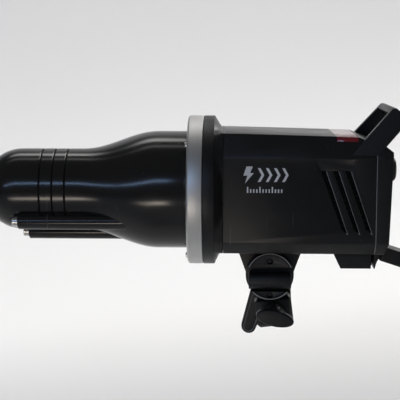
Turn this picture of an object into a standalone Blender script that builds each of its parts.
"""Monolight strobe: a studio flash head on a tilting stand bracket, with a long protective cap and a mains lead.

The world origin is the middle of the stand socket's mouth, with +Z up the stand, +X towards the
head's rear and -Y the side that carries the umbrella holder. Everything on the head is modelled in the
optical frame: its origin is on the optical axis at the mount ring's front face, +X to the rear.
"""
import math

import bmesh
import bpy
from mathutils import Matrix, Vector

MM = 0.001
GAP = 0.3 * MM  # clearance between pieces that seat on each other

# stand bracket and tilt joint
AXIS_HEIGHT = 54 * MM  # tilt axis above the socket's mouth
TILT_DEG = 7.2  # nose-up attitude of the head at rest
AXIS_BACK = 80 * MM  # tilt axis behind the mount ring's front face
AXIS_DROP = 80 * MM  # tilt axis below the optical axis
HUB_R = 23 * MM
HUB_NEAR = -36 * MM
HUB_FAR = 2 * MM
EAR_THICK = 13 * MM
SOCKET_W = 36 * MM
SOCKET_BORE_R = 8.2 * MM
SOCKET_TOP = 29 * MM
BOLT_R = 4 * MM
LEVER_LENGTH = 66 * MM
LEVER_DEG = 24.5  # lever's lean forward of straight down
KNOB_Z = 14.5 * MM
WING_HALF = 18.5 * MM

# mount ring, collar and housing
RING_R = 73 * MM
RING_DEEP = 15 * MM
RING_BORE_R = 50 * MM
RING_SCREW_R = 65 * MM
COLLAR_END = 26 * MM
BODY_START = 34.5 * MM
BODY_END = 177.7 * MM
REAR = 193.7 * MM
WALL = 2.4 * MM
TOP = 59.5 * MM
TOP_HALF = 49 * MM
SHOULDER = 37 * MM
HALF_WIDTH = 57.5 * MM
CHAMFER = -44 * MM
BOTTOM = -55.5 * MM
BOTTOM_HALF = 48 * MM
SLOPE_START = 161 * MM
TOP_DROP = 3.3 * MM  # how far the top falls from the collar to the slope
REAR_DROP = 12.6 * MM  # how far the slope under the handle falls below the top
FACE_TOP = 40 * MM
FACE_BOTTOM = -44 * MM
FACE_LEAN = 2.8 * MM  # how far the rear face leans in towards its bottom
INLET_FACE_DROP = 40 * MM
WINDOW_START = 140.5 * MM
WINDOW_SKIRT = 8 * MM  # how far the window reaches down the sides
FOOT_BOTTOM = -71 * MM
FOOT_END = 176.4 * MM
INLET_DEG = 18.0

# cap
CAP_WIDE_R = 57.6 * MM
CAP_NARROW_R = 40 * MM
CAP_WALL = 2.5 * MM
CAP_TIP = -204 * MM
FLARE_FRONT = -103 * MM
FLARE_REAR = -28.7 * MM
CAP_GROOVES = (-117.7 * MM, -129.6 * MM, -141.5 * MM)
BOSS_R = 7.5 * MM
BOSS_AT = 44.2 * MM
CAP_SCREW_R = 5.3 * MM
CAP_SCREWS = ((51.0, -163.2 * MM), (-9.0, -159.7 * MM))  # degrees from straight down, front end

# mains lead
CORD_D = 7 * MM
COIL_MEAN_R = 42 * MM

RELIEF_END = 58 * MM
COIL_BUNDLE_R = 13 * MM
COIL_AT = (0.1877, 0.0, -0.135)
PLUG_FROM_COIL = (-20 * MM, COIL_BUNDLE_R + 13 * MM, 14 * MM)
LEAD_ROUTE = ((0.1922, 0, 0.0199), (0.1986, 0, 0.0104), (0.2014, 0, -0.0013), (0.2028, 0, -0.02),
              (0.2035, 0, -0.045), (0.204, 0, -0.0788))

# rear panel, inlet and handle
DIAL_Z = 21 * MM
DIAL_R = 12 * MM
DIAL_TALL = 10 * MM
DISPLAY_Z = -4.5 * MM
DISPLAY_HALF = (29 * MM, 9 * MM)
KEY_Z = -20.5 * MM
KEY_Y = (-36 * MM, -12 * MM, 12 * MM, 36 * MM)
KEY_HALF = (5 * MM, 3 * MM)
SOCKET_Z = -33.5 * MM
SWITCH_Y, FUSE_Y, JACK_Y, USB_Y = 36 * MM, 14 * MM, -10 * MM, -34 * MM
INLET_X = 186.0 * MM
INLET_Z = -59.6 * MM
HANDLE_SLANT = math.radians(48.3)
HANDLE_FRONT = 151.6 * MM
HANDLE_BASE = 25.6 * MM
HANDLE_LENGTH = 64.5 * MM
HANDLE_BAR = 8 * MM
HANDLE_ARM = 9 * MM
HANDLE_LEAN = 0.2
FAN_X = 141 * MM
VENT_PITCH = 11.5 * MM

MATERIALS = {}


def clear_scene():
    for thing in list(bpy.data.objects):
        bpy.data.objects.remove(thing)


def collection(name):
    made = bpy.data.collections.new(name)
    bpy.context.scene.collection.children.link(made)
    return made


def material(name, colour, rough, metal=0.0):
    if name not in MATERIALS:
        made = bpy.data.materials.new(name)
        made.use_nodes = True
        shader = made.node_tree.nodes["Principled BSDF"]
        shader.inputs["Base Color"].default_value = (*colour, 1)
        shader.inputs["Roughness"].default_value = rough
        shader.inputs["Metallic"].default_value = metal
        MATERIALS[name] = made
    return MATERIALS[name]


def empty(name, parent=None, location=(0, 0, 0), turn=(0, 0, 0)):
    made = bpy.data.objects.new(name, None)
    PARTS.objects.link(made)
    made.parent, made.location, made.rotation_euler = parent, location, turn
    return made


def add(name, mesh, finish, parent, location=(0, 0, 0), turn=(0, 0, 0)):
    """An object for a sub-part, or for a cutter when finish is None."""
    made = bpy.data.objects.new(name, mesh)
    made.parent, made.location, made.rotation_euler = parent, location, turn
    if finish is None:
        CUTTERS.objects.link(made)
        made.hide_render, made.display_type = True, "WIRE"
    else:
        PARTS.objects.link(made)
        mesh.materials.append(material(*finish))
    return made


def mesh_of(bm, name):
    bmesh.ops.recalc_face_normals(bm, faces=bm.faces)
    mesh = bpy.data.meshes.new(name)
    bm.to_mesh(mesh)
    bm.free()
    return mesh


def box(name, low, high, finish, parent, bevel=0.0, segments=1, **place):
    """A box between two corners, its edges rounded by bevel."""
    bm = bmesh.new()
    bmesh.ops.create_cube(bm, size=1)
    size = Vector(high) - Vector(low)
    bmesh.ops.scale(bm, vec=size, verts=bm.verts)
    bmesh.ops.translate(bm, vec=Vector(low) + size / 2, verts=bm.verts)
    if bevel:
        bmesh.ops.bevel(bm, geom=bm.edges[:], offset=bevel, segments=segments, profile=0.5, affect="EDGES")
    return add(name, mesh_of(bm, name), finish, parent, **place)


AXIS_FRAMES = {
    "X": Matrix(((0, 0, 1), (1, 0, 0), (0, 1, 0))),
    "Y": Matrix(((1, 0, 0), (0, 0, 1), (0, 1, 0))),
    "Z": Matrix.Identity(3),
}


def prism(name, outline, axis, low, high, finish, parent, bevel=0.0, lean=None, **place):
    """A flat outline pushed along an axis from low to high; for X it is (y, z), for Y (x, z), for Z (x, y)."""
    bm = bmesh.new()
    frame = AXIS_FRAMES[axis]
    base = bm.faces.new([bm.verts.new(frame @ Vector((u, v, low))) for u, v in outline])
    pushed = bmesh.ops.extrude_face_region(bm, geom=[base])["geom"]
    step = frame @ Vector((0, 0, high - low))
    bmesh.ops.translate(bm, vec=step, verts=[v for v in pushed if isinstance(v, bmesh.types.BMVert)])
    if lean:
        for vert in bm.verts:
            vert.co = lean(vert.co)
    if bevel:
        bmesh.ops.recalc_face_normals(bm, faces=bm.faces)
        along = frame @ Vector((0, 0, 1))
        rims = [e for e in bm.edges if abs((e.verts[0].co - e.verts[1].co).dot(along)) < 0.00001]
        bmesh.ops.bevel(bm, geom=rims, offset=bevel, segments=1, affect="EDGES")
    return add(name, mesh_of(bm, name), finish, parent, **place)


TOWARDS = {"+X": (0, math.pi / 2, 0), "+Y": (-math.pi / 2, 0, 0), "-Y": (math.pi / 2, 0, 0), "+Z": (0, 0, 0)}


def turned(name, profile, finish, parent, towards="+X", steps=32, location=(0, 0, 0), turn=None, ring=False):
    """A profile of (height, radius) points turned about its height axis; a ring's profile is a closed loop."""
    if ring:
        area = sum(a[0] * b[1] - b[0] * a[1] for a, b in zip(profile, profile[1:] + profile[:1]))
        points = profile if area > 0 else profile[::-1]
    else:
        points = profile if profile[0][0] > profile[-1][0] else profile[::-1]
    bm = bmesh.new()
    verts = [bm.verts.new((radius, 0, height)) for height, radius in points]
    for first, second in zip(verts, verts[1:]):
        bm.edges.new((first, second))
    if ring:
        bm.edges.new((verts[-1], verts[0]))
    mesh = bpy.data.meshes.new(name)
    bm.to_mesh(mesh)
    bm.free()
    made = add(name, mesh, finish, parent, location=location, turn=TOWARDS[towards] if turn is None else turn)
    screw = made.modifiers.new("Turn", "SCREW")
    screw.steps = screw.render_steps = steps
    screw.use_merge_vertices, screw.merge_threshold = True, 0.00001
    screw.use_smooth_shade = False
    return made


def rod(name, radius, low, high, finish, parent, steps=20, chamfer=0.0, **place):
    """A round bar along its own height axis."""
    ends = [(low, 0), (low, radius), (high, radius), (high, 0)]
    if chamfer:
        ends = [(low, 0), (low, radius - chamfer), (low + chamfer, radius)]
        ends += [(high - chamfer, radius), (high, radius - chamfer), (high, 0)]
    return turned(name, ends, finish, parent, steps=steps, **place)


def tube(name, outer, inner, low, high, finish, parent, steps=32, **place):
    loop = [(low, outer), (high, outer), (high, inner), (low, inner)]
    return turned(name, loop, finish, parent, steps=steps, ring=True, **place)


def combine(target, *others, how="DIFFERENCE"):
    for other in others:
        step = target.modifiers.new(how.title(), "BOOLEAN")
        step.operation, step.object, step.solver = how, other, "EXACT"
    return target


def arc(centre, radius, start, end, count):
    """Points on a circle between two angles in degrees, ends included."""
    turns = [math.radians(start + (end - start) * k / (count - 1)) for k in range(count)]
    return [(centre[0] + radius * math.cos(a), centre[1] + radius * math.sin(a)) for a in turns]


def section(grow=0.0):
    """The housing's cross-section as (y, z), moved outwards by grow."""
    right = [(BOTTOM_HALF, BOTTOM), (HALF_WIDTH, CHAMFER), (HALF_WIDTH, SHOULDER), (TOP_HALF, TOP)]
    points = right + [(-y, z) for y, z in reversed(right)]
    if not grow:
        return points
    moved = []
    for before, here, after in zip(points[-1:] + points[:-1], points, points[1:] + points[:1]):
        sides = [(Vector(here) - Vector(before)).normalized(), (Vector(after) - Vector(here)).normalized()]
        normals = [Vector((side.y, -side.x)) for side in sides]
        mean = (normals[0] + normals[1]).normalized()
        moved.append(tuple(Vector(here) + mean * grow / mean.dot(normals[0])))
    return moved


# finishes: name, colour, roughness, metallic
BLACK = ("black moulding", (0.012, 0.012, 0.013), 0.42)
CAP_BLACK = ("cap black", (0.014, 0.013, 0.013), 0.3)
CAST_BLACK = ("bracket black", (0.011, 0.011, 0.012), 0.38)
SATIN = ("satin aluminium", (0.62, 0.61, 0.59), 0.32, 1.0)
STEEL = ("bright steel", (0.7, 0.7, 0.7), 0.22, 1.0)
DARK_STEEL = ("black steel", (0.03, 0.03, 0.032), 0.35, 0.6)
RED = ("sensor red", (0.32, 0.02, 0.03), 0.15)
RUBBER = ("cord rubber", (0.015, 0.015, 0.015), 0.6)
BOARD = ("circuit board", (0.02, 0.14, 0.05), 0.5)
SLEEVE = ("capacitor sleeve", (0.03, 0.05, 0.16), 0.4)
GLASS = ("clear glass", (0.85, 0.88, 0.88), 0.05)
CERAMIC = ("white ceramic", (0.8, 0.79, 0.75), 0.5)
SCREEN = ("display glass", (0.01, 0.012, 0.016), 0.08)
KEYS = ("key grey", (0.2, 0.2, 0.21), 0.5)
COPPER = ("winding copper", (0.55, 0.25, 0.12), 0.35, 1.0)


def stand_bracket():
    """Cast bracket on the stand: socket block, arm and the ear that the tilt joint clamps."""
    half = SOCKET_W / 2
    block = box("stand_bracket", (-half, -half, 0), (half, half, SOCKET_TOP), CAST_BLACK, None, bevel=3 * MM)
    near = HUB_FAR + 1.5 * MM
    ear = rod("ear", HUB_R - 1 * MM, near, near + EAR_THICK, None, None, towards="+Y", steps=32,
              location=(0, 0, AXIS_HEIGHT))
    arm_outline = [(-half, SOCKET_TOP - 12 * MM), (half, SOCKET_TOP - 12 * MM), (HUB_R - 2 * MM, AXIS_HEIGHT),
                   (2 * MM - HUB_R, AXIS_HEIGHT)]
    arm = prism("arm", arm_outline, "Y", near, near + EAR_THICK, None, None)
    combine(block, ear, arm, how="UNION")
    bore = rod("socket_bore", SOCKET_BORE_R, -5 * MM, SOCKET_TOP - 4 * MM, None, None, towards="+Z", steps=24)
    bolt_hole = rod("ear_bore", BOLT_R + GAP, near - 2 * MM, near + EAR_THICK + 2 * MM, None, None,
                    towards="+Y", location=(0, 0, AXIS_HEIGHT))
    tapped = rod("clamp_bore", 3.3 * MM, SOCKET_BORE_R - 2 * MM, half + 2 * MM, None, None, towards="-Y",
                 location=(0, 0, KNOB_Z), steps=16)
    combine(block, bore, bolt_hole, tapped)


def clamp_knob():
    """Winged screw that grips the stand's stud; it turns about its own axis."""
    half = SOCKET_W / 2
    place = {"towards": "-Y", "location": (0, 0, KNOB_Z)}
    profile = [(SOCKET_BORE_R - 1.5 * MM, 0), (SOCKET_BORE_R - 1.5 * MM, 3 * MM), (half + GAP, 3 * MM),
               (half + GAP, 10.5 * MM), (half + 9 * MM, 9 * MM), (half + 20 * MM, 5.5 * MM), (half + 24 * MM, 0)]
    knob = turned("clamp_knob", profile, CAST_BLACK, None, steps=24, **place)
    oval = [(WING_HALF * math.cos(a), 8 * MM * math.sin(a)) for a in
            [math.tau * k / 24 for k in range(24)]]
    wing = prism("wing", oval, "Z", half + 19.5 * MM, half + 29 * MM, None, None, bevel=1.5 * MM,
                 turn=(math.pi / 2, 0, 0), location=(0, 0, KNOB_Z))
    combine(knob, wing, how="UNION")


def tilt_lever():
    """Lever on the far side that clamps the tilt joint; it swings about the tilt axis."""
    start = HUB_FAR + 1.5 * MM + EAR_THICK + 2.5 * MM
    hub = turned("tilt_lever", [(start, 0), (start, 13 * MM), (start + 9 * MM, 12 * MM),
                                (start + 12 * MM, 9 * MM), (start + 12 * MM, 0)],
                 CAST_BLACK, None, towards="+Y", steps=24, location=(0, 0, AXIS_HEIGHT))
    end_r, root_r = 7.6 * MM, 11 * MM
    outline = arc((0, -LEVER_LENGTH), end_r, 180, 360, 9) + arc((0, 0), root_r, 0, 180, 7)
    blade = prism("lever_blade", outline, "Y", start + 2 * MM, start + 9 * MM, None, None, bevel=1 * MM,
                  turn=(0, math.radians(LEVER_DEG), 0), location=(0, 0, AXIS_HEIGHT))
    dish = prism("lever_dish", arc((0, -LEVER_LENGTH), end_r - 2.4 * MM, 180, 360, 9)
                 + arc((0, -18 * MM), root_r - 4 * MM, 0, 180, 7), "Y", start + 7.5 * MM, start + 12.5 * MM,
                 None, None, turn=(0, math.radians(LEVER_DEG), 0), location=(0, 0, AXIS_HEIGHT))
    shank = rod("lever_shank", BOLT_R + GAP, start - 1 * MM, start + 6 * MM, None, None, towards="+Y",
                location=(0, 0, AXIS_HEIGHT))
    combine(hub, blade, how="UNION")
    combine(hub, dish, shank)


def tilt_bolt_and_washer():
    near = HUB_FAR + 1.5 * MM
    end = near + EAR_THICK + 2.5 * MM
    rod("tilt_bolt", BOLT_R, -12 * MM, end + 5 * MM, STEEL, None, towards="+Y", location=(0, 0, AXIS_HEIGHT))
    tube("lever_washer", 11 * MM, BOLT_R + GAP, near + EAR_THICK + GAP, end - GAP, STEEL, None, towards="+Y",
         location=(0, 0, AXIS_HEIGHT), steps=24)


def hanger():
    """Head side of the tilt joint, in the optical frame: flange, neck and the round hub along Y."""
    at = (AXIS_BACK, 0, -AXIS_DROP)
    flange = box("hanger_bracket", (at[0] - 36 * MM, -21.5 * MM, BOTTOM - GAP - 4 * MM),
                 (at[0] + 36 * MM, HUB_FAR - 0.5 * MM, BOTTOM - GAP), CAST_BLACK, OPTICAL, bevel=1.2 * MM)
    neck = prism("neck", [(at[0] - 31 * MM, BOTTOM - 2 * MM), (at[0] + 31 * MM, BOTTOM - 2 * MM),
                          (at[0] + HUB_R - 1 * MM, at[2] - 2 * MM), (at[0] - HUB_R + 1 * MM, at[2] - 2 * MM)],
                 "Y", -21 * MM, HUB_FAR - 1 * MM, None, OPTICAL)
    hub = rod("hub", HUB_R, -22 * MM, HUB_FAR, None, OPTICAL, towards="+Y", steps=40, location=at)
    combine(flange, neck, hub, how="UNION")
    sump = rod("hub_bore", BOLT_R + GAP, -14 * MM, HUB_FAR + 2 * MM, None, OPTICAL, towards="+Y", location=at)
    lining = rod("friction_seat", 17 * MM, HUB_FAR - 1 * MM, HUB_FAR + 2 * MM, None, OPTICAL, towards="+Y",
                 location=at)
    combine(flange, sump, lining)
    tube("friction_disc", 16.7 * MM, BOLT_R + GAP, HUB_FAR - 1 * MM + GAP, HUB_FAR + 1.5 * MM - GAP, KEYS, OPTICAL,
         towards="+Y", location=at, steps=32)


def umbrella_holder():
    """Round block on the hub's near face with a channel that holds the umbrella tube."""
    at = (AXIS_BACK, 0, -AXIS_DROP)
    back = -22 * MM - GAP
    rim = [(back, 0), (back, HUB_R + 0.5 * MM), (HUB_NEAR + 1.2 * MM, HUB_R + 0.5 * MM),
           (HUB_NEAR, HUB_R - 0.7 * MM), (HUB_NEAR, HUB_R - 1.9 * MM), (HUB_NEAR + 1 * MM, HUB_R - 2.7 * MM),
           (HUB_NEAR + 1 * MM, 0)]
    holder = turned("umbrella_holder", rim, CAST_BLACK, OPTICAL, towards="+Y", steps=48, location=at)
    channel_low, channel_high = at[2] - 15 * MM, at[2] + 9 * MM
    channel = box("channel", (at[0] - 40 * MM, HUB_NEAR - 5 * MM, channel_low),
                  (at[0] + 40 * MM, back - 3.5 * MM, channel_high), None, OPTICAL)
    combine(holder, channel)
    screws = (14.6 * MM, -18.6 * MM)
    for number, height in enumerate(screws, 1):
        hole = rod(f"holder_screw_hole_{number}", 3 * MM, -36 * MM, -28.5 * MM, None, OPTICAL, towards="+Y",
                   steps=16, location=(at[0], 0, at[2] + height))
        combine(holder, hole)
        head = rod(f"holder_screw_{number}", 2.6 * MM, -32.4 * MM, -28.5 * MM - GAP, DARK_STEEL, OPTICAL,
                   towards="+Y", steps=16, location=(at[0], 0, at[2] + height))
        slot = box(f"holder_slot_{number}", (-2 * MM, -33 * MM, -0.4 * MM), (2 * MM, -31.6 * MM, 0.4 * MM), None,
                   OPTICAL, location=(at[0], 0, at[2] + height))
        combine(head, slot)
    middle = at[2] - 4.6 * MM
    outer = 8.4 * MM
    centre_y = back - 3.5 * MM - GAP - outer + 2.6 * MM
    profile = [(-20.5 * MM, outer - 0.8 * MM), (-19.7 * MM, outer), (19.7 * MM, outer), (20.5 * MM, outer - 0.8 * MM),
               (20.5 * MM, 4.2 * MM), (-20.5 * MM, 4.2 * MM)]
    barrel = turned("umbrella_tube", profile, CAST_BLACK, OPTICAL, steps=24, ring=True,
                    location=(at[0], centre_y, middle))
    flat = box("tube_flat", (-30 * MM, back - 3.5 * MM - GAP, -20 * MM), (30 * MM, 10 * MM, 20 * MM), None, OPTICAL,
               location=(at[0], 0, middle))
    combine(barrel, flat)


def mount_ring():
    """Satin ring at the front that light shapers lock into, with its three screws."""
    profile = [(0, RING_R - 1 * MM), (1 * MM, RING_R), (RING_DEEP - 0.6 * MM, RING_R),
               (RING_DEEP, RING_R - 0.6 * MM), (RING_DEEP, RING_BORE_R + 2 * MM), (9 * MM, RING_BORE_R + 2 * MM),
               (9 * MM, RING_BORE_R), (0, RING_BORE_R)]
    ring = turned("mount_ring", profile, SATIN, OPTICAL, steps=48, ring=True)
    for number, angle in enumerate((17, 137, 257), 1):
        turn = math.radians(angle)
        spot = (0, -RING_SCREW_R * math.sin(turn), -RING_SCREW_R * math.cos(turn))
        hole = rod(f"ring_screw_hole_{number}", 1.8 * MM, -1 * MM, 10 * MM, None, OPTICAL, steps=12, location=spot)
        combine(ring, hole)
        head = [(9 * MM, 0), (9 * MM, 1.5 * MM), (-GAP, 1.5 * MM), (-GAP, 2.7 * MM), (-1.5 * MM, 2.5 * MM),
                (-2.3 * MM, 1.4 * MM), (-2.3 * MM, 0)]
        turned(f"ring_screw_{number}", head, STEEL, OPTICAL, steps=16, location=spot)


def front_collar():
    """Black collar behind the ring, its round front blending into the housing's section."""
    count = 48
    body = section()
    bm = bmesh.new()

    def ray_to_section(angle):
        towards = Vector((math.cos(angle), math.sin(angle)))
        best = None
        for a, b in zip(body, body[1:] + body[:1]):
            a, b = Vector(a), Vector(b)
            side = b - a
            cross = towards.x * side.y - towards.y * side.x
            if abs(cross) < 1e-12:
                continue
            reach = (a.x * side.y - a.y * side.x) / cross
            along = (a.x * towards.y - a.y * towards.x) / cross
            if reach > 0 and -1e-9 <= along <= 1 + 1e-9 and (best is None or reach < best):
                best = reach
        return towards * best

    corners = [math.atan2(z, y) for y, z in body]
    angles = [math.tau * k / count for k in range(count)]
    angles = [a for a in angles if min(abs((a - c + math.pi) % math.tau - math.pi) for c in corners) > 0.05]
    angles = sorted(angles + [c % math.tau for c in corners])
    start, flat_end = RING_DEEP + GAP, COLLAR_END
    inner = RING_R - 4 * MM
    loops = []
    for depth, radius in ((start, inner), (start, RING_R - 0.5 * MM), (start + 0.5 * MM, RING_R), (flat_end, RING_R)):
        loops.append([bm.verts.new((depth, radius * math.cos(a), radius * math.sin(a))) for a in angles])
    loops.append([bm.verts.new((BODY_START, *ray_to_section(a))) for a in angles])
    inside = 1 - 5 * MM / HALF_WIDTH
    loops.append([bm.verts.new((BODY_START, *(ray_to_section(a) * inside))) for a in angles])
    size = len(angles)
    for near, far in zip(loops, loops[1:] + loops[:1]):
        for k in range(size):
            bm.faces.new((near[k], far[k], far[(k + 1) % size], near[(k + 1) % size]))
    add("front_collar", mesh_of(bm, "front_collar"), BLACK, OPTICAL)


SLOPE_END = REAR - 5.8 * MM


def top_z(x):
    """Height of the top at a depth: a slight fall from the collar, then the slope under the handle."""
    if x <= SLOPE_START:
        return TOP - (x - BODY_START) * TOP_DROP / (SLOPE_START - BODY_START)
    return TOP - TOP_DROP - (x - SLOPE_START) * (REAR_DROP - TOP_DROP) / (SLOPE_END - SLOPE_START)


def side_profile(start=BODY_START - 5 * MM, grow=0.0):
    """The body's outline from the side as (x, z): top, slope under the handle, rear and bottom."""
    knots = [x for x in (start, SLOPE_START, SLOPE_END) if x >= start]
    lower = INLET_FACE_DROP
    return [(x, top_z(x) + grow) for x in knots] + [
        (REAR + grow, FACE_TOP + 2.5 * MM), (REAR + grow, FACE_TOP), (REAR - FACE_LEAN + grow, FACE_BOTTOM),
        (REAR - FACE_LEAN - lower * math.tan(math.radians(INLET_DEG)) + grow, FACE_BOTTOM - lower),
        (start, FACE_BOTTOM - lower)]


def main_housing():
    """Moulded shell from the collar to the rear cover, open at both ends."""
    start = BODY_START + GAP
    shell = prism("main_housing", section(), "X", start, BODY_END, BLACK, OPTICAL)
    shape = prism("housing_shape", side_profile(), "Y", -90 * MM, 90 * MM, None, OPTICAL)
    hollow = prism("housing_hollow", section(-WALL), "X", start - 5 * MM, BODY_END + 5 * MM, None, OPTICAL)
    hollow_shape = prism("hollow_shape", [(x, z - WALL * 1.1) for x, z in side_profile()], "Y", -85 * MM, 85 * MM,
                         None, OPTICAL)
    combine(hollow, hollow_shape, how="INTERSECT")
    combine(shell, shape, how="INTERSECT")
    combine(shell, hollow)
    for side in (-1, 1):
        for number in range(3):
            top_x, bottom_x = 126 * MM + number * VENT_PITCH, 146.5 * MM + number * VENT_PITCH
            outline = [(top_x, 24.8 * MM), (top_x + 5 * MM, 24.8 * MM), (bottom_x + 5 * MM, -34.6 * MM),
                       (bottom_x, -30.8 * MM)]
            slot = prism(f"vent_{side}_{number}", outline, "Y", side * 50 * MM, side * 65 * MM, None, OPTICAL)
            combine(shell, slot)
        band = box(f"vent_band_{side}", (121.5 * MM, min(side * 56.7, side * 65) * MM, 24.3 * MM),
                   (157.2 * MM, max(side * 56.7, side * 65) * MM, 35.6 * MM), None, OPTICAL)
        combine(shell, band)
    opening = box("window_opening", (WINDOW_START, -70 * MM, TOP - WINDOW_SKIRT),
                  (SLOPE_START + 0.5 * MM, 70 * MM, TOP + 5 * MM), None, OPTICAL)
    combine(shell, opening)


def sensor_window():
    """Translucent red cover over the slave sensor, across the top in front of the handle."""
    bm_outline = section(-0.3 * MM)
    cover = prism("sensor_window", bm_outline, "X", WINDOW_START + GAP, SLOPE_START + 0.5 * MM - GAP, RED, OPTICAL)
    keep = box("window_keep", (WINDOW_START, -70 * MM, TOP - WINDOW_SKIRT + GAP),
               (SLOPE_START + 0.5 * MM, 70 * MM, TOP + 5 * MM), None, OPTICAL)
    hollow = prism("window_hollow", [(y, z - 3 * MM) for y, z in section(-2 * MM)], "X", WINDOW_START - 5 * MM,
                   SLOPE_START + 9 * MM, None, OPTICAL)
    shape = prism("window_shape", side_profile(), "Y", -90 * MM, 90 * MM, None, OPTICAL)
    combine(cover, keep, shape, how="INTERSECT")
    combine(cover, hollow)
    box("sensor_board", (WINDOW_START + 4 * MM, -12 * MM, TOP - 14 * MM), (SLOPE_START - 4 * MM, 12 * MM, TOP - 12.4 * MM),
        BOARD, OPTICAL)


def rear_cover():
    """Rear moulding with the control face and the slanted mains inlet."""
    start = BODY_END + GAP
    cover = prism("rear_cover", section(), "X", start, REAR + 5 * MM, BLACK, OPTICAL)
    boss = box("inlet_boss", (start + 0.5 * MM, -19 * MM, -71.5 * MM), (REAR + 5 * MM, 19 * MM, -50 * MM), None,
               OPTICAL)
    tail_end = start + 4.3 * MM
    tail = prism("foot_tail", [(start + 1 * MM, -50 * MM), (start + 1 * MM, FOOT_BOTTOM), (start + 1.8 * MM, FOOT_BOTTOM),
                               (tail_end, -63 * MM), (tail_end, -50 * MM)], "Y", -39.5 * MM, 39.5 * MM, None, OPTICAL)
    shape = prism("rear_shape", side_profile(BODY_END - 5 * MM), "Y", -90 * MM, 90 * MM, None, OPTICAL)
    combine(cover, boss, tail, how="UNION")
    combine(cover, shape, how="INTERSECT")
    hollow = prism("rear_hollow", section(-WALL), "X", start - 5 * MM, REAR + 5 * MM, None, OPTICAL)
    depth = 3.2 * MM
    inner = prism("rear_inner", [(BODY_END - 9 * MM, top_z(BODY_END - 9 * MM) - WALL * 1.2),
                                 (SLOPE_END - depth, top_z(SLOPE_END - depth) - WALL * 1.2),
                                 (REAR - depth, FACE_TOP), (REAR - FACE_LEAN - depth, FACE_BOTTOM + 3 * MM),
                                 (BODY_END - 9 * MM, FACE_BOTTOM + 3 * MM)], "Y", -85 * MM, 85 * MM, None, OPTICAL)
    combine(hollow, inner, how="INTERSECT")
    combine(cover, hollow)
    return cover


def face_x(z):
    """Where the rear face is at a height; below the dial it leans in a little."""
    return REAR - max(0.0, FACE_TOP - z) * FACE_LEAN / (FACE_TOP - FACE_BOTTOM)


def panel_cut(cover, name, y, z, half_y, half_z, depth=6 * MM):
    at = (face_x(z), y, z)
    cutter = box(name, (-depth, -half_y, -half_z), (6 * MM, half_y, half_z), None, OPTICAL, location=at)
    combine(cover, cutter)
    return at


def rear_panel(cover):
    """Dial, display, keys, switch and sockets, each seated in its own opening of the rear cover."""
    at = (face_x(DIAL_Z), 0, DIAL_Z)
    seat = [(-8 * MM, 0), (-8 * MM, 3.4 * MM), (-1.3 * MM, 3.4 * MM), (-1.3 * MM, DIAL_R + 0.8 * MM),
            (14 * MM, DIAL_R + 0.8 * MM), (14 * MM, 0)]
    combine(cover, turned("dial_seat", seat, None, OPTICAL, steps=32, location=at))
    turned("dial", [(-5.5 * MM, 0), (-5.5 * MM, 3 * MM), (-0.7 * MM, 3 * MM), (-0.7 * MM, DIAL_R),
                    (DIAL_TALL - 2.6 * MM, DIAL_R - 0.4 * MM), (DIAL_TALL - 0.8 * MM, DIAL_R - 1.8 * MM),
                    (DIAL_TALL, DIAL_R - 4.4 * MM), (DIAL_TALL, 0)], BLACK, OPTICAL, steps=32, location=at)
    box("encoder", (-14 * MM, -6 * MM, -6 * MM), (-5.5 * MM - GAP, 6 * MM, 6 * MM), SATIN, OPTICAL, location=at)
    at = panel_cut(cover, "display_recess", 0, DISPLAY_Z, DISPLAY_HALF[0], DISPLAY_HALF[1])
    half_y, half_z = DISPLAY_HALF[0] - GAP, DISPLAY_HALF[1] - GAP
    box("display_window", (-2 * MM, -half_y, -half_z), (-0.8 * MM, half_y, half_z), SCREEN, OPTICAL, location=at)
    box("display_module", (-6 * MM, 1 * MM - half_y, 1 * MM - half_z), (-2 * MM - GAP, half_y - 1 * MM, half_z - 1 * MM),
        BOARD, OPTICAL, location=at)
    for number, y in enumerate(KEY_Y, 1):
        at = panel_cut(cover, f"key_hole_{number}", y, KEY_Z, KEY_HALF[0] + GAP, KEY_HALF[1] + GAP)
        box(f"key_{number}", (-4.5 * MM, -KEY_HALF[0], -KEY_HALF[1]), (1 * MM, KEY_HALF[0], KEY_HALF[1]), KEYS, OPTICAL,
            bevel=0.5 * MM, location=at)
    at = panel_cut(cover, "switch_hole", SWITCH_Y, SOCKET_Z, 7.5 * MM, 5.5 * MM)
    inside = 5.5 * MM - 1 * MM
    rocker = [(-4 * MM, -inside), (0.9 * MM, -inside), (0.1 * MM, 0), (2.1 * MM, inside), (-4 * MM, inside)]
    prism("power_switch", rocker, "Y", -6.8 * MM, 6.8 * MM, KEYS, OPTICAL, location=at)
    at = panel_cut(cover, "fuse_hole", FUSE_Y, SOCKET_Z, 6.5 * MM, 6.5 * MM)
    turned("fuse_cap", [(-6 * MM, 0), (-6 * MM, 4 * MM), (0, 4 * MM), (0, 6 * MM), (1.8 * MM, 5.6 * MM), (1.8 * MM, 0)],
           BLACK, OPTICAL, steps=24, location=at)
    at = panel_cut(cover, "jack_hole", JACK_Y, SOCKET_Z, 5.3 * MM, 5.3 * MM)
    tube("sync_jack", 5 * MM, 1.8 * MM, -12 * MM, 0.8 * MM, DARK_STEEL, OPTICAL, steps=24, location=at)
    at = panel_cut(cover, "usb_hole", USB_Y, SOCKET_Z, 7 * MM, 3.3 * MM)
    port = box("usb_port", (-12 * MM, -6.7 * MM, -3 * MM), (-0.3 * MM, 6.7 * MM, 3 * MM), SATIN, OPTICAL, location=at)
    combine(port, box("usb_mouth", (-10 * MM, -6 * MM, -2.3 * MM), (3 * MM, 6 * MM, 2.3 * MM), None, OPTICAL,
                      location=at))


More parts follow.
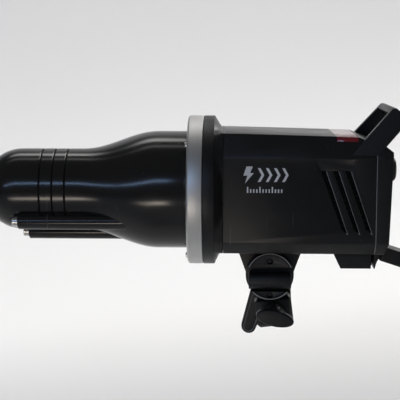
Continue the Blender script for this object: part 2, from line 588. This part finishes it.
def inlet_and_connector(cover):
    """Mains inlet in the slanted face and the lead's connector pushed into it."""
    place = {"location": (INLET_X, 0, INLET_Z), "turn": (0, math.radians(INLET_DEG), 0)}
    hole = box("inlet_hole", (-30 * MM, -13.9 * MM, -8.2 * MM), (9 * MM, 13.9 * MM, 8.2 * MM), None, OPTICAL, **place)
    combine(cover, hole)
    inlet = box("mains_inlet", (-6.2 * MM, -13.6 * MM, -7.9 * MM), (2.6 * MM, 13.6 * MM, 7.9 * MM), BLACK, OPTICAL,
                **place)
    combine(inlet, box("inlet_mouth", (-5 * MM, -11.9 * MM, -6.4 * MM), (5 * MM, 11.9 * MM, 6.4 * MM), None, OPTICAL,
                       **place))
    body = box("mains_connector", (3.2 * MM, -13.5 * MM, -7.5 * MM), (29 * MM, 13.5 * MM, 7.5 * MM), RUBBER, OPTICAL,
               bevel=2 * MM, **place)
    nose = box("connector_nose", (-4.5 * MM, -11.5 * MM, -6 * MM), (6 * MM, 11.5 * MM, 6 * MM), None, OPTICAL,
               bevel=1 * MM, **place)
    relief = turned("connector_relief", [(27 * MM, 0), (27 * MM, 6.2 * MM), (32 * MM, 5.6 * MM),
                                         (RELIEF_END, CORD_D / 2 + 1 * MM), (RELIEF_END, 0)], None, OPTICAL,
                    steps=16, location=place["location"], turn=(0, math.radians(INLET_DEG + 90), 0))
    combine(body, nose, relief, how="UNION")


def carry_handle():
    """Open loop of two leaning arms and a crossbar, slanted to the rear."""
    base_z = SHOULDER - 0.3 * MM
    along = Vector((math.cos(HANDLE_SLANT), math.sin(HANDLE_SLANT)))
    across = Vector((along.y, -along.x))
    front = Vector((HANDLE_FRONT, base_z))
    top = front + along * HANDLE_LENGTH
    depth = HANDLE_BASE * along.y
    corner = 2.5 * MM
    outline = [front, front + Vector((HANDLE_BASE, 0)), top + across * depth - along * corner,
               top + across * (depth - corner), top + across * corner, top - along * corner]

    def lean(point):
        share = 1 - HANDLE_LEAN * (point.z - base_z) / HALF_WIDTH
        return Vector((point.x, point.y * share, point.z))

    handle = prism("carry_handle", outline, "Y", -HALF_WIDTH, HALF_WIDTH, BLACK, OPTICAL, lean=lean)
    low = top - along * HANDLE_BAR
    gap = [front - along * 20 * MM - across * 9 * MM, low - across * 9 * MM, low + across * (depth + 9 * MM),
           front - along * 20 * MM + across * (depth + 9 * MM)]
    inside = HALF_WIDTH - HANDLE_ARM
    opening = prism("handle_opening", gap, "Y", -inside, inside, None, OPTICAL, lean=lean)
    combine(handle, opening)
    keep = prism("body_clearance", section(GAP), "X", BODY_START, REAR + 9 * MM, None, OPTICAL)
    combine(keep, prism("clearance_shape", side_profile(grow=GAP), "Y", -90 * MM, 90 * MM, None, OPTICAL), how="INTERSECT")
    combine(handle, keep)


def rear_foot():
    outline = [(140 * MM, BOTTOM - GAP), (147.3 * MM, FOOT_BOTTOM), (FOOT_END, FOOT_BOTTOM), (FOOT_END, BOTTOM - GAP)]
    prism("rear_foot", outline, "Y", -40 * MM, 40 * MM, RUBBER, OPTICAL, bevel=0.8 * MM)


def lock_slider():
    """Sprung slider on the far side of the collar that frees a light shaper from the ring."""
    slot = box("lock_slot", (16.2 * MM, 60 * MM, -4 * MM), (24.4 * MM, 80 * MM, 4 * MM), None, OPTICAL)
    combine(bpy.data.objects["front_collar"], slot)
    slider = box("lock_slider", (16.6 * MM, RING_R + 0.6 * MM, -8 * MM), (24.5 * MM, RING_R + 4.5 * MM, 8 * MM), BLACK,
                 OPTICAL, bevel=0.8 * MM)
    stem = box("lock_stem", (16.6 * MM, RING_R - 9 * MM, -3.6 * MM), (20.4 * MM, RING_R + 2 * MM, 3.6 * MM), None,
               OPTICAL)
    combine(slider, stem, how="UNION")


def light_unit():
    """What the cap hides: base plate, ring flash tube, modelling lamp in its socket and the glass dome."""
    base = rod("lamp_base", RING_BORE_R + 1.6 * MM, 9 * MM + GAP, 13 * MM, CERAMIC, OPTICAL, steps=40)
    combine(base, rod("socket_hole", 12.3 * MM, 5 * MM, 20 * MM, None, OPTICAL, steps=24))
    loop = arc((-8 * MM, 28 * MM), 4 * MM, 0, 315, 8)
    flash = turned("flash_tube", loop, GLASS, OPTICAL, steps=28, ring=True)
    for side in (-1, 1):
        leg = rod(f"tube_leg_{side}", 2.6 * MM, -8 * MM, 9 * MM, None, OPTICAL, steps=12,
                  location=(0, side * 7 * MM, 27 * MM))
        combine(flash, leg, how="UNION")
    tube("lamp_socket", 12 * MM, 7.5 * MM, 4 * MM, 40 * MM, CERAMIC, OPTICAL, steps=24)
    bulb = [(36 * MM, 0), (36 * MM, 3 * MM), (33 * MM, 7 * MM), (4 * MM, 7 * MM), (-6 * MM, 9 * MM)]
    bulb += [(-26 * MM + 14 * MM * math.sin(a), 14 * MM * math.cos(a)) for a in
             [math.radians(d) for d in (40, 10, -20, -50, -72)]] + [(-40 * MM, 0)]
    turned("modelling_lamp", bulb, GLASS, OPTICAL, steps=20)
    outer, wall = 42 * MM, 2 * MM
    angles = [math.radians(15 * k) for k in range(7)]
    shell = [(8.6 * MM, 0), (8.6 * MM, outer)] + [(-32 * MM - outer * math.sin(a), outer * math.cos(a)) for a in angles[:-1]]
    inner = [(-32 * MM - (outer - wall) * math.sin(a), (outer - wall) * math.cos(a)) for a in reversed(angles[:-1])]
    turned("glass_dome", shell + [(-32 * MM - outer, 0)], GLASS, OPTICAL, steps=32)
    hollow = turned("dome_hollow", [(12 * MM, 0), (12 * MM, outer - wall)] + inner[::-1]
                    + [(-32 * MM - outer + wall, 0)], None, OPTICAL, steps=32)
    combine(bpy.data.objects["glass_dome"], hollow)


def electronics():
    """Capacitors, boards, transformer and fan inside the housing."""
    for number, side in enumerate((-1, 1), 1):
        rod(f"flash_capacitor_{number}", 17.5 * MM, 55 * MM, 130 * MM, SLEEVE, OPTICAL, steps=24, chamfer=1.5 * MM,
            location=(0, side * 21 * MM, -2 * MM))
    box("main_board", (48 * MM, -40 * MM, 38 * MM), (134 * MM, 40 * MM, 39.6 * MM), BOARD, OPTICAL)
    box("power_board", (48 * MM, -40 * MM, -45 * MM), (134 * MM, 40 * MM, -43.4 * MM), BOARD, OPTICAL)
    box("transformer", (60 * MM, -16 * MM, -43 * MM), (96 * MM, 16 * MM, -23 * MM), COPPER, OPTICAL, bevel=2 * MM)
    frame = box("fan_frame", (FAN_X, -30 * MM, -30 * MM), (FAN_X + 15 * MM, 30 * MM, 30 * MM), BLACK, OPTICAL)
    combine(frame, rod("fan_tunnel", 27.5 * MM, FAN_X - 5 * MM, FAN_X + 12 * MM, None, OPTICAL, steps=32))
    for side in (-1, 1):
        for height in (-1, 1):
            low_y, low_z = sorted((side * 2 * MM, side * 22 * MM)), sorted((height * 2 * MM, height * 22 * MM))
            window = box(f"fan_window_{side}_{height}", (FAN_X + 10 * MM, low_y[0], low_z[0]),
                         (FAN_X + 20 * MM, low_y[1], low_z[1]), None, OPTICAL)
            combine(frame, window)
    combine(frame, rod("fan_bore", 1.9 * MM, FAN_X + 5 * MM, FAN_X + 18 * MM, None, OPTICAL, steps=12))
    rotor = turned("fan_rotor", [(FAN_X + 1 * MM, 0), (FAN_X + 1 * MM, 12 * MM), (FAN_X + 11 * MM, 12 * MM),
                                 (FAN_X + 11 * MM, 1.5 * MM), (FAN_X + 14 * MM, 1.5 * MM), (FAN_X + 14 * MM, 0)],
                   BLACK, OPTICAL, steps=20)
    for number in range(7):
        turn = math.tau * number / 7
        blade = box(f"fan_blade_{number}", (FAN_X + 2 * MM, -0.6 * MM, 10 * MM), (FAN_X + 10 * MM, 0.6 * MM, 26 * MM),
                    None, OPTICAL, turn=(turn, 0, 0))
        combine(rotor, blade, how="UNION")


def cap_profile(inset=0.0):
    """The cap's outer radius along the axis as (x, radius): wide skirt, flare, narrow barrel with grooves, dome."""
    wide, narrow = CAP_WIDE_R - inset, CAP_NARROW_R - inset
    points = [(FLARE_REAR, wide)]
    for k in range(1, 6):
        share = k / 6
        ease = (1 - math.cos(math.pi * share)) / 2
        points.append((FLARE_REAR + (FLARE_FRONT - FLARE_REAR) * share, wide + (narrow - wide) * ease))
    points.append((FLARE_FRONT, narrow))
    if not inset:
        for groove in CAP_GROOVES:
            points += [(groove + 0.9 * MM, narrow), (groove + 0.5 * MM, narrow - 0.9 * MM),
                       (groove - 0.5 * MM, narrow - 0.9 * MM), (groove - 0.9 * MM, narrow)]
    centre = CAP_TIP + CAP_NARROW_R
    points.append((centre, narrow))
    points += [(centre - narrow * math.sin(a), narrow * math.cos(a))
               for a in [math.radians(d) for d in (18, 36, 54, 72)]]
    return points + [(centre - narrow, 0)]


def protective_cap():
    """Long cap over the lamps: turned shell with two screw bosses along its underside."""
    outer = [(-GAP, CAP_WIDE_R - 0.6 * MM), (-1 * MM, CAP_WIDE_R)] + cap_profile()
    cap = turned("protective_cap", [(-GAP, 0)] + outer, CAP_BLACK, OPTICAL, steps=36)
    inner = turned("cap_hollow", [(20 * MM, 0), (20 * MM, CAP_WIDE_R - CAP_WALL)] + cap_profile(CAP_WALL), None,
                   OPTICAL, steps=24)
    for number, (angle, front) in enumerate(CAP_SCREWS, 1):
        turn = math.radians(angle)
        spot = (0, -BOSS_AT * math.sin(turn), -BOSS_AT * math.cos(turn))
        rear = front + 112 * MM
        boss = rod(f"cap_boss_{number}", BOSS_R, front, rear, None, OPTICAL, steps=20, chamfer=1 * MM, location=spot)
        combine(cap, boss, how="UNION")
        pocket_r = CAP_SCREW_R + GAP
        pocket = [(front - 9 * MM, 0), (front - 9 * MM, pocket_r), (front + 0.4 * MM, pocket_r),
                  (front + 0.4 * MM, 2 * MM), (front + 13 * MM, 2 * MM), (front + 13 * MM, 0)]
        combine(cap, turned(f"cap_screw_pocket_{number}", pocket, None, OPTICAL, steps=20, location=spot))
        head_r = CAP_SCREW_R
        turned(f"cap_screw_{number}", [(front + 10 * MM, 0), (front + 10 * MM, 1.7 * MM), (front - GAP, 1.7 * MM),
                                       (front - GAP, head_r), (front - 4.5 * MM, head_r),
                                       (front - 6 * MM, head_r - 1.5 * MM), (front - 6 * MM, 0)], STEEL, OPTICAL,
               steps=20, location=spot)
    combine(cap, inner)
    tube("cap_seat_ring", RING_BORE_R - GAP, RING_BORE_R - 3 * MM, 0.3 * MM, 7 * MM, CAP_BLACK, OPTICAL, steps=32)
    seat = bpy.data.objects["cap_seat_ring"]
    flange = tube("seat_flange", CAP_WIDE_R - CAP_WALL - 0.9 * MM, RING_BORE_R - 3 * MM, -3 * MM, -GAP, None, OPTICAL,
                  steps=32)
    bridge = tube("seat_bridge", RING_BORE_R - 0.5 * MM, RING_BORE_R - 3 * MM, -1 * MM, 1 * MM, None, OPTICAL, steps=32)
    combine(seat, flange, bridge, how="UNION")


def smooth(points, count):
    """Points spread along a Catmull-Rom curve through the given ones."""
    points = [Vector(p) for p in points]
    padded = [points[0] * 2 - points[1]] + points + [points[-1] * 2 - points[-2]]
    found = []
    for k in range(count):
        at = (len(points) - 1) * k / (count - 1)
        i = min(int(at), len(points) - 2)
        t = at - i
        a, b, c, d = padded[i:i + 4]
        found.append(0.5 * (2 * b + (c - a) * t + (2 * a - 5 * b + 4 * c - d) * t ** 2
                            + (3 * b - a - 3 * c + d) * t ** 3))
    return found


def wire(name, points, diameter, finish, resolution=2):
    """A round tube along a smooth run of points, as a closed mesh."""
    curve = bpy.data.curves.new(name, "CURVE")
    curve.dimensions, curve.resolution_u = "3D", 1
    curve.bevel_depth, curve.bevel_resolution, curve.use_fill_caps = diameter / 2, resolution, True
    spline = curve.splines.new("POLY")
    spline.points.add(len(points) - 1)
    for spot, point in zip(spline.points, points):
        spot.co = (*point, 1)
    guide = bpy.data.objects.new(f"{name}_guide", curve)
    PARTS.objects.link(guide)
    bpy.context.view_layer.update()
    mesh = bpy.data.meshes.new_from_object(guide.evaluated_get(bpy.context.evaluated_depsgraph_get()))
    bpy.data.objects.remove(guide)
    bm = bmesh.new()
    bm.from_mesh(mesh)
    bmesh.ops.remove_doubles(bm, verts=bm.verts, dist=0.00001)
    bpy.data.meshes.remove(mesh)
    made = mesh_of(bm, name)
    made.materials.clear()
    return add(name, made, finish, None)


def mains_lead(pivot_frame):
    """The lead from the connector's strain relief down to its tied coil and plug, in world coordinates."""
    turn = math.radians(INLET_DEG)
    inlet, out = Vector((INLET_X, 0, INLET_Z)), Vector((math.cos(turn), 0, -math.sin(turn)))
    straight = [pivot_frame @ (inlet + out * reach) for reach in (RELIEF_END + GAP, RELIEF_END + 6 * MM,
                                                                  RELIEF_END + 12 * MM)]
    wire("mains_lead", smooth(straight + [Vector(point) for point in LEAD_ROUTE], 26), CORD_D, RUBBER)
    loop = arc((0, COIL_MEAN_R), COIL_BUNDLE_R, 0, 324, 10)
    turned("lead_coil", loop, RUBBER, None, towards="+Y", steps=32, location=COIL_AT, ring=True)
    tie_at = (COIL_AT[0] - COIL_MEAN_R, COIL_AT[1], COIL_AT[2])
    tube("lead_tie", COIL_BUNDLE_R + 2.8 * MM, COIL_BUNDLE_R + 1.6 * MM, -8 * MM, 8 * MM, RUBBER, None, towards="+Z",
         steps=24, location=tie_at)
    at = tuple(Vector(COIL_AT) + Vector(PLUG_FROM_COIL))
    plug = box("mains_plug", (-17 * MM, -12 * MM, -16 * MM), (17 * MM, 12 * MM, 16 * MM), RUBBER, None, bevel=3 * MM,
               location=at)
    relief = turned("plug_relief", [(14 * MM, 0), (14 * MM, 7 * MM), (34 * MM, CORD_D / 2 + 1 * MM), (34 * MM, 0)],
                    None, None, steps=16, location=at, turn=(math.pi, 0, 0))
    combine(plug, relief, how="UNION")
    for number, side in enumerate((-1, 1), 1):
        pin = rod(f"plug_pin_{number}", 2.4 * MM, 14 * MM, 34 * MM, None, None, towards="+Z", steps=12,
                  location=(at[0] + side * 9.5 * MM, at[1], at[2]))
        combine(plug, pin, how="UNION")


def build():
    global PARTS, CUTTERS, OPTICAL
    clear_scene()
    PARTS, CUTTERS = collection("monolight_strobe"), collection("cutters")
    pivot = empty("tilt_pivot", location=(0, 0, AXIS_HEIGHT), turn=(0, math.radians(TILT_DEG), 0))
    OPTICAL = empty("optical_axis", pivot, location=(-AXIS_BACK, 0, AXIS_DROP))
    frame = (Matrix.Translation((0, 0, AXIS_HEIGHT)) @ Matrix.Rotation(math.radians(TILT_DEG), 4, "Y")
             @ Matrix.Translation((-AXIS_BACK, 0, AXIS_DROP)))
    stand_bracket()
    clamp_knob()
    tilt_lever()
    tilt_bolt_and_washer()
    hanger()
    umbrella_holder()
    mount_ring()
    front_collar()
    lock_slider()
    main_housing()
    sensor_window()
    cover = rear_cover()
    rear_panel(cover)
    inlet_and_connector(cover)
    carry_handle()
    rear_foot()
    light_unit()
    electronics()
    protective_cap()
    mains_lead(frame)


build()
